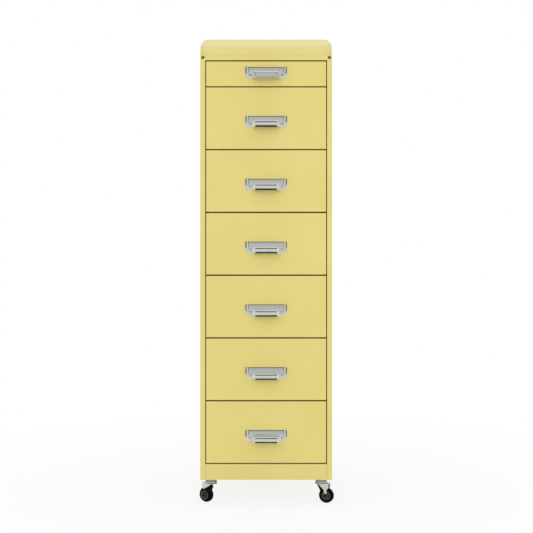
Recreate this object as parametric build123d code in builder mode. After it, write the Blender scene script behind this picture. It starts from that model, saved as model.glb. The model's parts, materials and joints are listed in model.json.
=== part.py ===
from build123d import *
import math
import os

# Rolling chest of drawers in folded sheet steel: a narrow cabinet with a shallow drawer above six
# deep ones on plain channel runners, a rounded cap, chromed card-frame pulls and four swivel
# casters, the front two with brake levers. Millimetres, +Z up, the front faces -Y. The origin is on
# the floor under the middle of the chest. Casters and drawers are drawn at rest.

# Sheet steel of the cabinet and the drawers
SHEET = 1.0
BEND_RADIUS = 1.5
FLANGE = 12.0

# Cabinet body, measured above the casters
BODY_WIDTH = 279.0
BODY_DEPTH = 380.0
GROUND_GAP = 54.0
PLINTH_HEIGHT = 33.3
HEADER_HEIGHT = 12.0
POST_WIDTH = 10.7
FRONT_UPRIGHT_DEPTH = 40.0
REAR_UPRIGHT_DEPTH = 30.0
UPRIGHT_RETURN = 8.0
PAN_SHEET = 1.5
PAN_HEIGHT = 15.0
PAN_CORNER_GAP = 0.2

# Cap over the header
CAP_HEIGHT = 35.0
CAP_OVERHANG = 0.5
CAP_SHEET = 1.2
CAP_RADIUS = 17.5
CAP_INNER_BEVEL = 11.0
CAP_HEM = 10.0

# Small round pieces are drawn with flats, which keeps the model light
HEAD_SIDES = 12
SHANK_SIDES = 8

# Dimpled corner fixing of the header
DIMPLE_INSET = 5.5
DIMPLE_DEPTH = 1.6
DIMPLE_RADIUS = 4.2
DIMPLE_TAPER = 30.0
TAB_WIDTH = 8.0
TAB_HEIGHT = 10.0
FRAME_SCREW_HEAD_RADIUS = 2.6
FRAME_SCREW_HEAD_HEIGHT = 1.4
FRAME_SCREW_RADIUS = 1.5
FRAME_SCREW_LENGTH = 7.0

# Drawers
DEEP_DRAWERS = 6
DEEP_FRONT_HEIGHT = 130.6
SHALLOW_FRONT_HEIGHT = 52.7
DRAWER_GAP = 2.3
FRONT_SIDE_GAP = 1.6
FRONT_THICKNESS = 15.0
FRONT_LIP = 18.0
TRAY_LENGTH = 350.0
TRAY_LIFT = 4.0
TRAY_DROP = 14.0
TRAY_HEM = 6.0
DRAWER_TRAVEL = 300.0

# Channel runners in the cabinet and rails on the trays
CHANNEL_HEIGHT = 14.0
CHANNEL_DEPTH = 11.0
CHANNEL_OVERRUN = 2.0
CHANNEL_FRONT_GAP = 0.3
RUNNER_RISE = 24.0
RUNNER_FIT = 0.3
RUNNER_SIDE_GAP = 1.0
RAIL_SETBACK = 5.0
STOP_REACH = 6.0
STOP_HEIGHT = 5.0
STOP_THICKNESS = 1.5
STOP_GAP = 0.5

# Card-frame pull, pressed from one sheet
PULL_WIDTH = 86.8
PULL_HEIGHT = 23.2
PULL_SHEET = 1.0
PULL_REACH = 19.0
PULL_CORNER_RADIUS = 3.0
PULL_RISE_DEEP = 4.4
PULL_RISE_SHALLOW = 13.9
HOOD_DROP = 11.0
HOOD_SLOPE = 2.5
HOOD_HEIGHT = 14.2
HOOD_BACK_WIDTH = 55.0
HOOD_FRONT_WIDTH = 59.5
HOOD_CORNER_RADIUS = 7.0
HOOD_BROW_RADIUS = 6.0
HOOD_CURL = 2.5
HOOD_INNER_BEVEL = 4.0
GUIDE_HEIGHT = 13.0
GUIDE_LIP = 5.5
GUIDE_DEPTH = 3.0
PULL_SCREW_SPACING = 68.0
PULL_SCREW_DROP = 17.2
PULL_SCREW_HEAD_RADIUS = 3.5
PULL_SCREW_HEAD_HEIGHT = 2.0
PULL_SCREW_RADIUS = 1.7
PULL_SCREW_LENGTH = 8.0
SCREW_CLEARANCE = 0.1

# Swivel casters
CASTER_SIDE_INSET = 21.2
CASTER_END_INSET = 30.0
TRAIL = 11.5
WHEEL_RADIUS = 16.0
WHEEL_WIDTH = 11.0
AXLE_RADIUS = 2.5
AXLE_HEAD_RADIUS = 4.8
AXLE_HEAD_HEIGHT = 1.2
RUNNING_FIT = 0.05
PLAY = 0.3
WHEEL_PLAY = 0.8
FORK_SHEET = 1.5
CROWN_RADIUS = 13.5
CROWN_THICKNESS = 2.0
CROWN_TAIL = 18.0
LEG_LEAD = 6.0
LEG_FOOT_REACH = 3.8
LEG_NECK_RISE = 11.5
LEG_TAIL_RISE = 17.0
CUP_HEIGHT = 11.0
CUP_RADIUS = 12.6
KINGPIN_RADIUS = 4.0
KINGPIN_HEAD_RADIUS = 5.8
KINGPIN_HEAD_HEIGHT = 1.5
KINGPIN_CLEARANCE = 0.1

# Brake lever of a front caster: a broad arm beside the fork with a pedal on its leading side
LEVER_ARM = 2.0
LEVER_BOSS_RADIUS = 11.5
LEVER_TIP_RADIUS = 3.8
LEVER_TIP_AHEAD = 8.0
LEVER_TIP_DROP = 4.5
PEDAL_THICKNESS = 3.0
PEDAL_LENGTH = 6.0
PEDAL_WIDTH = 7.0
PEDAL_GAP = 0.8
PEDAL_DROP = 2.5

# Directions, in degrees from +X, in which the four casters trail at rest
TRAIL_ANGLE = {"front_left": 149.0, "front_right": -20.0, "rear_left": 165.0, "rear_right": 35.0}

# Places worked out from the sizes above
SIDE_X = BODY_WIDTH / 2
UPRIGHT_X = SIDE_X - POST_WIDTH
FRONT_Y = (PULL_REACH - BODY_DEPTH) / 2
BACK_Y = FRONT_Y + BODY_DEPTH
BODY_LOW = GROUND_GAP
DRAWERS_LOW = BODY_LOW + PLINTH_HEIGHT + DRAWER_GAP
DEEP_PITCH = DEEP_FRONT_HEIGHT + DRAWER_GAP
SHALLOW_LOW = DRAWERS_LOW + DEEP_DRAWERS * DEEP_PITCH
POST_TOP = SHALLOW_LOW + SHALLOW_FRONT_HEIGHT + DRAWER_GAP
BODY_TOP = POST_TOP + HEADER_HEIGHT
TRAY_FRONT_Y = FRONT_Y + FRONT_THICKNESS
TRAY_BACK_Y = TRAY_FRONT_Y + TRAY_LENGTH
CHANNEL_X = UPRIGHT_X - CHANNEL_DEPTH
TRAY_WIDTH = 2 * (CHANNEL_X - RUNNER_SIDE_GAP)
RAIL_DEPTH = CHANNEL_DEPTH - SHEET
RAIL_HEIGHT = CHANNEL_HEIGHT - 2 * SHEET - 2 * RUNNER_FIT
DIMPLE_X = SIDE_X - DIMPLE_INSET
DIMPLE_Z = POST_TOP + HEADER_HEIGHT / 2
CUP_LOW = BODY_LOW - CUP_HEIGHT
CROWN_TOP = CUP_LOW - PLAY
CROWN_LOW = CROWN_TOP - CROWN_THICKNESS
LEG_INNER = WHEEL_WIDTH / 2 + WHEEL_PLAY
LEG_OUTER = LEG_INNER + FORK_SHEET
ARM_INNER = LEG_OUTER + PLAY
ARM_OUTER = ARM_INNER + LEVER_ARM
CASTER_X = SIDE_X - CASTER_SIDE_INSET
KINGPINS = {
    "front_left": (-CASTER_X, FRONT_Y + CASTER_END_INSET),
    "front_right": (CASTER_X, FRONT_Y + CASTER_END_INSET),
    "rear_left": (-CASTER_X, BACK_Y - CASTER_END_INSET),
    "rear_right": (CASTER_X, BACK_Y - CASTER_END_INSET),
}


def save(builder, name):
    """Label a finished piece and write it under its own name."""
    builder.part.label = name
    export_step(builder.part, f"parts/{name}.step")


def facing(y):
    """Upright plane at depth y, facing the front, with its own axes along X and Z."""
    return Plane.XZ.offset(-y)


def flat_sided_hole(radius):
    """Hole with flats that just clears a round shank of the given radius."""
    with BuildSketch(mode=Mode.PRIVATE) as hole:
        RegularPolygon(radius, SHANK_SIDES, major_radius=False)
    return hole.sketch


def drawer_fronts():
    """Lower edge, height and pull rise of every drawer front, from the top drawer down."""
    fronts = [(SHALLOW_LOW, SHALLOW_FRONT_HEIGHT, PULL_RISE_SHALLOW)]
    for step in reversed(range(DEEP_DRAWERS)):
        fronts.append((DRAWERS_LOW + step * DEEP_PITCH, DEEP_FRONT_HEIGHT, PULL_RISE_DEEP))
    return fronts


def folded_strip(corners, thickness, side):
    """Outline of a sheet folded along the corners, its thickness laid to one side of the path."""
    with BuildLine(mode=Mode.PRIVATE) as strip:
        face_line = Polyline(*corners)
        offset(face_line, amount=thickness, side=side, kind=Kind.INTERSECTION)
    return strip.edges()


# Cabinet casing


def make_side_panel(side, name):
    """Side wall whose front and rear edges fold round into hollow posts, with a top flange."""
    inner_x = side * UPRIGHT_X
    return_x = side * (UPRIGHT_X + UPRIGHT_RETURN)
    outer_x = side * SIDE_X
    front_return_y = FRONT_Y + FRONT_UPRIGHT_DEPTH
    rear_return_y = BACK_Y - REAR_UPRIGHT_DEPTH
    path = [
        (return_x, front_return_y),
        (inner_x, front_return_y),
        (inner_x, FRONT_Y),
        (outer_x, FRONT_Y),
        (outer_x, BACK_Y),
        (inner_x, BACK_Y),
        (inner_x, rear_return_y),
        (return_x, rear_return_y),
    ]
    tab_y = FRONT_Y + DIMPLE_DEPTH + SHEET
    with BuildPart() as panel:
        with BuildSketch(Plane.XY.offset(BODY_LOW)):
            make_face(folded_strip(path, SHEET, Side.LEFT if side > 0 else Side.RIGHT))
        extrude(amount=POST_TOP - BODY_LOW)
        with BuildSketch(Plane.XY.offset(POST_TOP - SHEET)):
            with Locations((side * (SIDE_X + UPRIGHT_X) / 2, (FRONT_Y + BACK_Y) / 2)):
                Rectangle(POST_WIDTH, BODY_DEPTH)
        extrude(amount=SHEET)
        upright_edges = panel.edges().filter_by(Axis.Z)
        face_edges = upright_edges.group_by(Axis.Y)[0] + upright_edges.group_by(Axis.Y)[-1]
        fillet(face_edges, radius=BEND_RADIUS)
        with BuildSketch(facing(tab_y)):
            with Locations((side * DIMPLE_X, POST_TOP + TAB_HEIGHT / 2)):
                Rectangle(TAB_WIDTH, TAB_HEIGHT)
            with Locations((side * DIMPLE_X, DIMPLE_Z)):
                add(flat_sided_hole(FRAME_SCREW_RADIUS + SCREW_CLEARANCE), mode=Mode.SUBTRACT)
        extrude(amount=-SHEET)
    save(panel, name)


def make_flanged_panel(name, face_y, inward, low, high):
    """Upright sheet between the posts with flanges turned inward at its sides and along its top."""
    width = 2 * UPRIGHT_X
    height = high - low
    with BuildPart() as panel:
        with BuildSketch(facing(face_y)):
            with Locations((0, (low + high) / 2)):
                Rectangle(width, height)
        extrude(amount=-inward * FLANGE)
        outer_edges = panel.edges().group_by(Axis.Y)[0 if inward > 0 else -1]
        fillet(outer_edges.filter_by(Axis.Z), radius=BEND_RADIUS)
        with BuildSketch(facing(face_y + inward * SHEET)):
            with Locations((0, (low + high - SHEET) / 2)):
                Rectangle(width - 2 * SHEET, height - SHEET)
        extrude(amount=-inward * FLANGE, mode=Mode.SUBTRACT)
    save(panel, name)


def make_bottom_pan():
    """Floor pan with turned-up walls, notched at the posts."""
    notch_x = UPRIGHT_X - SHEET - PAN_CORNER_GAP
    wide_x = SIDE_X - SHEET
    front_y = FRONT_Y + SHEET
    rear_y = BACK_Y - SHEET
    front_notch_y = FRONT_Y + FRONT_UPRIGHT_DEPTH + PAN_CORNER_GAP
    rear_notch_y = BACK_Y - REAR_UPRIGHT_DEPTH - PAN_CORNER_GAP
    right_side = [
        (notch_x, front_y),
        (notch_x, front_notch_y),
        (wide_x, front_notch_y),
        (wide_x, rear_notch_y),
        (notch_x, rear_notch_y),
        (notch_x, rear_y),
    ]
    left_side = [(-x, y) for x, y in reversed(right_side)]
    with BuildPart() as pan:
        with BuildSketch(Plane.XY.offset(BODY_LOW)):
            with BuildLine():
                Polyline(*right_side, *left_side, close=True)
            make_face()
        extrude(amount=PAN_HEIGHT)
        with BuildSketch(Plane.XY.offset(BODY_LOW + PAN_SHEET)):
            with BuildLine():
                Polyline(*right_side, *left_side, close=True)
            make_face()
            offset(amount=-PAN_SHEET, kind=Kind.INTERSECTION, mode=Mode.REPLACE)
        extrude(amount=PAN_HEIGHT, mode=Mode.SUBTRACT)
    save(pan, "bottom_pan")


def make_top_frame():
    """Shallow lid with skirts all round that stands on the side panels, dimpled at its front corners."""
    middle = (0, (FRONT_Y + BACK_Y) / 2)
    with BuildPart() as header:
        with BuildSketch(Plane.XY.offset(POST_TOP)) as outline:
            with Locations(middle):
                Rectangle(BODY_WIDTH, BODY_DEPTH)
            fillet(outline.vertices(), radius=BEND_RADIUS)
        extrude(amount=HEADER_HEIGHT)
        with BuildSketch(Plane.XY.offset(POST_TOP)):
            with Locations(middle):
                Rectangle(BODY_WIDTH - 2 * SHEET, BODY_DEPTH - 2 * SHEET)
        extrude(amount=HEADER_HEIGHT - SHEET, mode=Mode.SUBTRACT)
        with BuildSketch(facing(FRONT_Y + DIMPLE_DEPTH + SHEET)):
            with Locations((-DIMPLE_X, DIMPLE_Z), (DIMPLE_X, DIMPLE_Z)):
                RegularPolygon(DIMPLE_RADIUS, HEAD_SIDES)
        extrude(amount=DIMPLE_DEPTH)
        with BuildSketch(facing(FRONT_Y)):
            with Locations((-DIMPLE_X, DIMPLE_Z), (DIMPLE_X, DIMPLE_Z)):
                RegularPolygon(DIMPLE_RADIUS, HEAD_SIDES)
        extrude(amount=-DIMPLE_DEPTH, taper=DIMPLE_TAPER, mode=Mode.SUBTRACT)
        with BuildSketch(facing(FRONT_Y)):
            with Locations((-DIMPLE_X, DIMPLE_Z), (DIMPLE_X, DIMPLE_Z)):
                add(flat_sided_hole(FRAME_SCREW_RADIUS + SCREW_CLEARANCE))
        extrude(amount=-DIMPLE_DEPTH - SHEET, mode=Mode.SUBTRACT)
    save(header, "top_frame")


def make_frame_screws():
    """Two pan-head screws in the dimples, driven into the tabs behind them."""
    with BuildPart() as screws:
        with BuildSketch(facing(FRONT_Y + DIMPLE_DEPTH)):
            with Locations((-DIMPLE_X, DIMPLE_Z), (DIMPLE_X, DIMPLE_Z)):
                RegularPolygon(FRAME_SCREW_HEAD_RADIUS, HEAD_SIDES)
        extrude(amount=FRAME_SCREW_HEAD_HEIGHT)
        with BuildSketch(facing(FRONT_Y + DIMPLE_DEPTH)):
            with Locations((-DIMPLE_X, DIMPLE_Z), (DIMPLE_X, DIMPLE_Z)):
                RegularPolygon(FRAME_SCREW_RADIUS, SHANK_SIDES)
        extrude(amount=-FRAME_SCREW_LENGTH)
    save(screws, "frame_screws")


def make_top_cap():
    """Rounded cover with a hem turned in along its foot, resting on the header."""
    middle = (0, (FRONT_Y + BACK_Y) / 2)
    width = BODY_WIDTH + 2 * CAP_OVERHANG
    depth = BODY_DEPTH + 2 * CAP_OVERHANG
    with BuildPart() as cap:
        with BuildSketch(Plane.XY.offset(BODY_TOP)):
            with Locations(middle):
                Rectangle(width, depth)
        extrude(amount=CAP_HEIGHT)
        upright_edges = cap.edges().filter_by(Axis.Z)
        rim_edges = cap.edges().group_by(Axis.Z)[-1]
        fillet(upright_edges + rim_edges, radius=CAP_RADIUS)
        with BuildSketch(Plane.XY.offset(BODY_TOP)):
            with Locations(middle):
                Rectangle(width - 2 * CAP_HEM, depth - 2 * CAP_HEM)
        extrude(amount=CAP_SHEET, mode=Mode.SUBTRACT)
        add(cap_hollow(), mode=Mode.SUBTRACT)
    save(cap, "top_cap")


def cap_hollow():
    """Space inside the cap above its hem, its corners and upper edges cut off inside the rounding."""
    width = BODY_WIDTH + 2 * CAP_OVERHANG - 2 * CAP_SHEET
    depth = BODY_DEPTH + 2 * CAP_OVERHANG - 2 * CAP_SHEET
    with BuildPart(mode=Mode.PRIVATE) as hollow:
        with BuildSketch(Plane.XY.offset(BODY_TOP + CAP_SHEET)):
            with Locations((0, (FRONT_Y + BACK_Y) / 2)):
                Rectangle(width, depth)
        extrude(amount=CAP_HEIGHT - 2 * CAP_SHEET)
        upright_edges = hollow.edges().filter_by(Axis.Z)
        rim_edges = hollow.edges().group_by(Axis.Z)[-1]
        chamfer(upright_edges + rim_edges, length=CAP_INNER_BEVEL)
    return hollow.part


# Runners


def make_runner_channels(side, name):
    """One channel per drawer, open towards the tray, with a stop tab that ends the drawer's travel."""
    front_y = TRAY_FRONT_Y + CHANNEL_FRONT_GAP
    rear_y = TRAY_BACK_Y + CHANNEL_OVERRUN
    stop_y = TRAY_BACK_Y - SHEET - DRAWER_TRAVEL - STOP_GAP
    levels = [low + RUNNER_RISE for low, height, rise in drawer_fronts()]
    with BuildPart() as channels:
        with BuildSketch(facing(rear_y)):
            with Locations(*[(side * (UPRIGHT_X - CHANNEL_DEPTH / 2), z) for z in levels]):
                Rectangle(CHANNEL_DEPTH, CHANNEL_HEIGHT)
            with Locations(*[(side * (UPRIGHT_X - SHEET - CHANNEL_DEPTH / 2), z) for z in levels]):
                Rectangle(CHANNEL_DEPTH, CHANNEL_HEIGHT - 2 * SHEET, mode=Mode.SUBTRACT)
        extrude(amount=rear_y - front_y)
        with BuildSketch(facing(stop_y)):
            with Locations(*[(side * (UPRIGHT_X - SHEET - STOP_REACH / 2), z) for z in levels]):
                Rectangle(STOP_REACH, STOP_HEIGHT)
        extrude(amount=STOP_THICKNESS)
    save(channels, name)


# Drawers


def make_tray(name, low, height):
    """Open sheet tray with a doubled rim and a channel-shaped rail along each side."""
    floor_z = low + TRAY_LIFT
    rim_z = low + height - TRAY_DROP
    rail_z = low + RUNNER_RISE
    middle = (0, (TRAY_FRONT_Y + TRAY_BACK_Y) / 2)
    with BuildPart() as tray:
        with BuildSketch(Plane.XY.offset(floor_z)):
            with Locations(middle):
                Rectangle(TRAY_WIDTH, TRAY_LENGTH)
        extrude(amount=rim_z - floor_z)
        with BuildSketch(Plane.XY.offset(floor_z + SHEET)):
            with Locations(middle):
                Rectangle(TRAY_WIDTH - 2 * SHEET, TRAY_LENGTH - 2 * SHEET)
        extrude(amount=rim_z - floor_z, mode=Mode.SUBTRACT)
        with BuildSketch(Plane.XY.offset(rim_z - TRAY_HEM)):
            with Locations(middle):
                Rectangle(TRAY_WIDTH - 2 * SHEET, TRAY_LENGTH - 2 * SHEET)
                Rectangle(TRAY_WIDTH - 4 * SHEET, TRAY_LENGTH - 4 * SHEET, mode=Mode.SUBTRACT)
        extrude(amount=TRAY_HEM)
        for side in (-1, 1):
            with BuildSketch(facing(TRAY_BACK_Y)):
                with Locations((side * (TRAY_WIDTH + RAIL_DEPTH) / 2, rail_z)):
                    Rectangle(RAIL_DEPTH, RAIL_HEIGHT)
            extrude(amount=TRAY_LENGTH - RAIL_SETBACK)
            with BuildSketch(facing(TRAY_BACK_Y - SHEET)):
                with Locations((side * (TRAY_WIDTH + RAIL_DEPTH + 2 * SHEET) / 2, rail_z)):
                    Rectangle(RAIL_DEPTH, RAIL_HEIGHT - 2 * SHEET)
            extrude(amount=TRAY_LENGTH, mode=Mode.SUBTRACT)
    save(tray, name)


def make_front(name, low, height, pull_rise):
    """Hollow folded front with round upper and lower bends and return lips, bored for its pull."""
    width = 2 * (UPRIGHT_X - FRONT_SIDE_GAP)
    middle = (0, low + height / 2)
    screw_z = low + height / 2 + pull_rise - PULL_SCREW_DROP
    with BuildPart() as front:
        with BuildSketch(facing(FRONT_Y)):
            with Locations(middle):
                Rectangle(width, height)
        extrude(amount=-FRONT_THICKNESS)
        fillet(front.edges().group_by(Axis.Y)[0].filter_by(Axis.X), radius=BEND_RADIUS)
        with BuildSketch(facing(FRONT_Y + SHEET)):
            with Locations(middle):
                Rectangle(width - 2 * SHEET, height - 2 * SHEET)
        extrude(amount=2 * SHEET - FRONT_THICKNESS, mode=Mode.SUBTRACT)
        with BuildSketch(facing(TRAY_FRONT_Y)):
            with Locations(middle):
                Rectangle(width - 2 * FRONT_LIP, height - 2 * FRONT_LIP)
        extrude(amount=SHEET, mode=Mode.SUBTRACT)
        with BuildSketch(facing(FRONT_Y)):
            with Locations((-PULL_SCREW_SPACING / 2, screw_z), (PULL_SCREW_SPACING / 2, screw_z)):
                add(flat_sided_hole(PULL_SCREW_RADIUS + SCREW_CLEARANCE))
        extrude(amount=-SHEET, mode=Mode.SUBTRACT)
    save(front, name)


def hood_plan(top_z, inset):
    """Upright block over a hood's plan, which flares towards its front."""
    tip_y = FRONT_Y - PULL_REACH + inset
    back_x = HOOD_BACK_WIDTH / 2 - inset
    tip_x = HOOD_FRONT_WIDTH / 2 - inset
    with BuildPart(mode=Mode.PRIVATE) as block:
        with BuildSketch(Plane.XY.offset(top_z - HOOD_DROP - HOOD_HEIGHT)):
            with BuildLine():
                Polyline((-back_x, FRONT_Y), (back_x, FRONT_Y), (tip_x, tip_y), (-tip_x, tip_y), close=True)
            make_face()
        extrude(amount=HOOD_HEIGHT)
    return block.part


def hood_profile(top_z, inset):
    """Side profile of a hood: a sloping brow, an upright front and a curl back along its foot."""
    tip_y = FRONT_Y - PULL_REACH + inset
    low_z = top_z - HOOD_DROP - HOOD_HEIGHT
    high_z = top_z - HOOD_DROP - inset
    with BuildSketch(mode=Mode.PRIVATE) as profile:
        with BuildLine():
            Polyline(
                (FRONT_Y, low_z),
                (FRONT_Y, high_z),
                (tip_y, high_z - HOOD_SLOPE),
                (tip_y, low_z + HOOD_CURL),
                (tip_y + HOOD_CURL, low_z),
                close=True,
            )
        make_face()
    return profile.sketch


def hood_shell(top_z):
    """Hollow hood, open below, rounded outside at its corners and brow and cut off flat inside."""
    with BuildPart(mode=Mode.PRIVATE) as hollow:
        add(hood_plan(top_z, PULL_SHEET))
        chamfer(hollow.edges().filter_by(Axis.Z).group_by(Axis.Y)[0], length=HOOD_INNER_BEVEL)
        with BuildSketch(Plane.YZ):
            add(hood_profile(top_z, PULL_SHEET))
        extrude(amount=HOOD_FRONT_WIDTH, both=True, mode=Mode.INTERSECT)
    with BuildPart(mode=Mode.PRIVATE) as hood:
        add(hood_plan(top_z, 0.0))
        fillet(hood.edges().filter_by(Axis.Z).group_by(Axis.Y)[0], radius=HOOD_CORNER_RADIUS)
        with BuildSketch(Plane.YZ) as profile:
            add(hood_profile(top_z, 0.0))
            brow = profile.vertices().group_by(Axis.Y)[0].sort_by(Axis.Z)[-1]
            fillet(brow, radius=HOOD_BROW_RADIUS)
        extrude(amount=HOOD_FRONT_WIDTH, both=True, mode=Mode.INTERSECT)
        add(hollow.part, mode=Mode.SUBTRACT)
    return hood.part


def make_pull(name, top_z):
    """Chromed pull: back plate, folded card guides at both ends and a hollow hood for the fingers."""
    screw_z = top_z - PULL_SCREW_DROP
    with BuildPart() as pull:
        add(hood_shell(top_z))
        with BuildSketch(facing(FRONT_Y)) as plate:
            with Locations((0, top_z - PULL_HEIGHT / 2)):
                Rectangle(PULL_WIDTH, PULL_HEIGHT)
            fillet(plate.vertices().group_by(Axis.Y)[0], radius=PULL_CORNER_RADIUS)
            with Locations((-PULL_SCREW_SPACING / 2, screw_z), (PULL_SCREW_SPACING / 2, screw_z)):
                add(flat_sided_hole(PULL_SCREW_RADIUS + SCREW_CLEARANCE), mode=Mode.SUBTRACT)
        extrude(amount=PULL_SHEET)
        for side in (-1, 1):
            edge_x = side * PULL_WIDTH / 2
            guide_y = FRONT_Y - GUIDE_DEPTH
            path = [(edge_x - side * GUIDE_LIP, guide_y), (edge_x, guide_y), (edge_x, FRONT_Y)]
            with BuildSketch(Plane.XY.offset(top_z - GUIDE_HEIGHT)):
                make_face(folded_strip(path, PULL_SHEET, Side.LEFT if side > 0 else Side.RIGHT))
            extrude(amount=GUIDE_HEIGHT)
    save(pull, name)


def make_pull_screws(name, top_z):
    """The two screws of a pull, their heads on its plate and their shanks through the drawer front."""
    screw_z = top_z - PULL_SCREW_DROP
    places = [(-PULL_SCREW_SPACING / 2, screw_z), (PULL_SCREW_SPACING / 2, screw_z)]
    with BuildPart() as screws:
        with BuildSketch(facing(FRONT_Y - PULL_SHEET)):
            with Locations(*places):
                RegularPolygon(PULL_SCREW_HEAD_RADIUS, HEAD_SIDES)
        extrude(amount=PULL_SCREW_HEAD_HEIGHT)
        with BuildSketch(facing(FRONT_Y - PULL_SHEET)):
            with Locations(*places):
                RegularPolygon(PULL_SCREW_RADIUS, SHANK_SIDES)
        extrude(amount=-PULL_SCREW_LENGTH)
    save(screws, name)


# Casters. In each caster's own side view the trail runs along +x and the kingpin stands at 0


def side_view(place, across):
    """Upright plane through a caster along its trail, moved across it towards its right-hand side."""
    kingpin_x, kingpin_y = KINGPINS[place]
    angle = math.radians(TRAIL_ANGLE[place])
    along = (math.cos(angle), math.sin(angle), 0)
    right = (math.sin(angle), -math.cos(angle), 0)
    return Plane(origin=(kingpin_x, kingpin_y, 0), x_dir=along, z_dir=right).offset(across)


def plan_view(place, height):
    """Level plane at a height over a caster, its x axis along the trail."""
    kingpin_x, kingpin_y = KINGPINS[place]
    angle = math.radians(TRAIL_ANGLE[place])
    return Plane(origin=(kingpin_x, kingpin_y, height), x_dir=(math.cos(angle), math.sin(angle), 0))


def make_fork(place):
    """Pressed fork: a round crown with a tail over the wheel and two tapering legs to the axle."""
    reach = LEG_FOOT_REACH
    leg_path = [
        (-LEG_LEAD, CROWN_LOW),
        (TRAIL - reach, WHEEL_RADIUS + LEG_NECK_RISE),
        (TRAIL - reach, WHEEL_RADIUS - reach / 2),
        (TRAIL - reach / 2, WHEEL_RADIUS - reach),
        (TRAIL + reach / 2, WHEEL_RADIUS - reach),
        (TRAIL + reach, WHEEL_RADIUS - reach / 2),
        (TRAIL + reach / 2, WHEEL_RADIUS + LEG_NECK_RISE),
        (CROWN_TAIL, WHEEL_RADIUS + LEG_TAIL_RISE),
        (CROWN_TAIL, CROWN_LOW),
    ]
    with BuildPart() as fork:
        with BuildSketch(plan_view(place, CROWN_LOW)):
            Circle(CROWN_RADIUS)
            with Locations((CROWN_TAIL / 2, 0)):
                Rectangle(CROWN_TAIL, 2 * LEG_OUTER)
            add(flat_sided_hole(KINGPIN_RADIUS + RUNNING_FIT), mode=Mode.SUBTRACT)
        extrude(amount=CROWN_THICKNESS)
        for across in (-LEG_OUTER, LEG_INNER):
            with BuildSketch(side_view(place, across)):
                with BuildLine():
                    Polyline(*leg_path, close=True)
                make_face()
                with Locations((TRAIL, WHEEL_RADIUS)):
                    add(flat_sided_hole(AXLE_RADIUS), mode=Mode.SUBTRACT)
            extrude(amount=FORK_SHEET)
    save(fork, f"{place}_fork")


def make_wheel(place):
    """Wheel with its solid tyre, bored for the axle."""
    with BuildPart() as wheel:
        with BuildSketch(side_view(place, -WHEEL_WIDTH / 2)):
            with Locations((TRAIL, WHEEL_RADIUS)):
                Circle(WHEEL_RADIUS)
                add(flat_sided_hole(AXLE_RADIUS + RUNNING_FIT), mode=Mode.SUBTRACT)
        extrude(amount=WHEEL_WIDTH)
    save(wheel, f"{place}_wheel")


def make_axle(place, braked):
    """Axle with a wide cap at each end, longer on the side where a brake lever rides on it."""
    near = -ARM_OUTER - PLAY if braked else -LEG_OUTER
    with BuildPart() as axle:
        with BuildSketch(side_view(place, near)):
            with Locations((TRAIL, WHEEL_RADIUS)):
                RegularPolygon(AXLE_RADIUS, SHANK_SIDES)
        extrude(amount=LEG_OUTER - near)
        for head_side in (near - AXLE_HEAD_HEIGHT, LEG_OUTER):
            with BuildSketch(side_view(place, head_side)):
                with Locations((TRAIL, WHEEL_RADIUS)):
                    RegularPolygon(AXLE_HEAD_RADIUS, HEAD_SIDES)
            extrude(amount=AXLE_HEAD_HEIGHT)
    save(axle, f"{place}_axle")


def make_brake_lever(place):
    """Brake lever: a broad teardrop arm outside one leg and a pedal turned in ahead of that leg."""
    tip = (-LEVER_TIP_AHEAD, CROWN_LOW - LEVER_TIP_DROP)
    lead = Vector(-LEG_LEAD, CROWN_LOW)
    neck = Vector(TRAIL - LEG_FOOT_REACH, WHEEL_RADIUS + LEG_NECK_RISE)
    along = (neck - lead).normalized()
    out = Vector(along.Y, -along.X)
    near = lead + out * PEDAL_GAP + along * PEDAL_DROP
    far = near + along * PEDAL_LENGTH
    pedal = [near, far, far + out * PEDAL_THICKNESS, near + out * PEDAL_THICKNESS]
    with BuildPart() as lever:
        with BuildSketch(side_view(place, -ARM_OUTER)):
            with Locations((TRAIL, WHEEL_RADIUS)):
                Circle(LEVER_BOSS_RADIUS)
            with Locations(tip):
                Circle(LEVER_TIP_RADIUS)
            make_hull()
            with Locations((TRAIL, WHEEL_RADIUS)):
                add(flat_sided_hole(AXLE_RADIUS + RUNNING_FIT), mode=Mode.SUBTRACT)
        extrude(amount=LEVER_ARM)
        with BuildSketch(side_view(place, -ARM_OUTER)):
            with BuildLine():
                Polyline(*[(point.X, point.Y) for point in pedal], close=True)
            make_face()
        extrude(amount=PEDAL_WIDTH)
    save(lever, f"{place}_brake_lever")


def make_caster_cups():
    """Bearing cups welded under the floor pan, bored for the kingpins."""
    with BuildPart() as cups:
        with BuildSketch(Plane.XY.offset(CUP_LOW)):
            with Locations(*KINGPINS.values()):
                Circle(CUP_RADIUS)
                add(flat_sided_hole(KINGPIN_RADIUS + KINGPIN_CLEARANCE), mode=Mode.SUBTRACT)
        extrude(amount=CUP_HEIGHT)
    save(cups, "caster_cups")


def make_kingpins():
    """Kingpins that hang the forks: a head under each crown and a shank up into the cup."""
    head_top = CROWN_LOW - PLAY
    with BuildPart() as pins:
        with BuildSketch(Plane.XY.offset(head_top)):
            with Locations(*KINGPINS.values()):
                RegularPolygon(KINGPIN_HEAD_RADIUS, HEAD_SIDES)
        extrude(amount=-KINGPIN_HEAD_HEIGHT)
        with BuildSketch(Plane.XY.offset(head_top)):
            with Locations(*KINGPINS.values()):
                RegularPolygon(KINGPIN_RADIUS, SHANK_SIDES)
        extrude(amount=BODY_LOW - head_top)
    save(pins, "kingpins")


os.makedirs("parts", exist_ok=True)

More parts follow.
